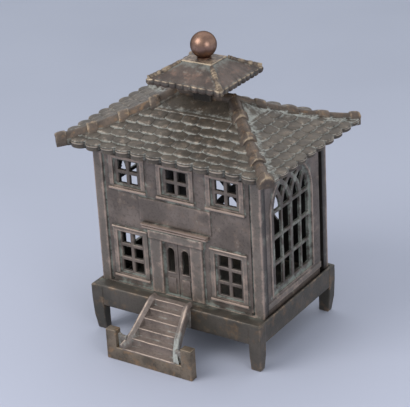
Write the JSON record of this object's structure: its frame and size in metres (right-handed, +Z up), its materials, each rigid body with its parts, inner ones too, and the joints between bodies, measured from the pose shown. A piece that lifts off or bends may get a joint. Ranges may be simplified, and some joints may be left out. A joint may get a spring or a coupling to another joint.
{
  "type": "house-shaped coin bank",
  "caption": "House-shaped coin bank: pierced walls in a legged tray under a tiled hip roof, with front stairs, clamped by a long rod that the ball on top screws down.",
  "frame": {"origin": "on the floor, under the middle of the whole bank's outline in plan (stairs and eaves included)", "axes": "+X to the right of someone who faces the front door, -Y out of the front with the door and stairs, +Z up"},
  "size_m": [0.1186, 0.1014, 0.1477],
  "materials": {
    "aged_bronze": "cast, brown-grey patina with pale verdigris in the recesses and rubbed edges",
    "stair_bronze": "cast, brown patina, rubbed nosings",
    "roof_bronze": "cast, olive-brown tiles with grey-green joints",
    "rubbed_bronze": "turned, polished by handling, coppery brown",
    "rivet_copper": "hammered heads, dull",
    "rod_steel": "drawn rod, darkened",
    "nut_brass": "filed, dull"
  },
  "bodies": {
    "stand": {"base_tray": "aged_bronze", "front_stairs": "stair_bronze", "stair_rivets": "rivet_copper", "front_wall": "aged_bronze", "back_wall": "aged_bronze", "left_wall": "aged_bronze", "right_wall": "aged_bronze", "base_nut": "nut_brass"},
    "roof": {"main_roof": "roof_bronze", "cupola_roof": "roof_bronze"},
    "washer": {"captive_washer": "rubbed_bronze"},
    "finial": {"finial_ball": "rubbed_bronze", "tie_rod": "rod_steel"}
  },
  "joints": [
    {"name": "roof_lift", "type": "slide", "parent": "stand", "child": "roof", "axis": [0, 0, 1], "range_m": [0, 0.09]},
    {"name": "finial_rise", "type": "slide", "parent": "roof", "child": "washer", "axis": [0, 0, 1], "range_m": [0, 0.007]},
    {"name": "finial_turn", "type": "hinge", "parent": "washer", "child": "finial", "pos_m": [0, 0.008, 0.14], "axis": [0, 0, 1], "range_deg": [0, 2520]}
  ],
  "couplings": [
    {"joint": "finial_rise", "follows": "finial_turn", "m_per_rad": 0.00015915}
  ]
}
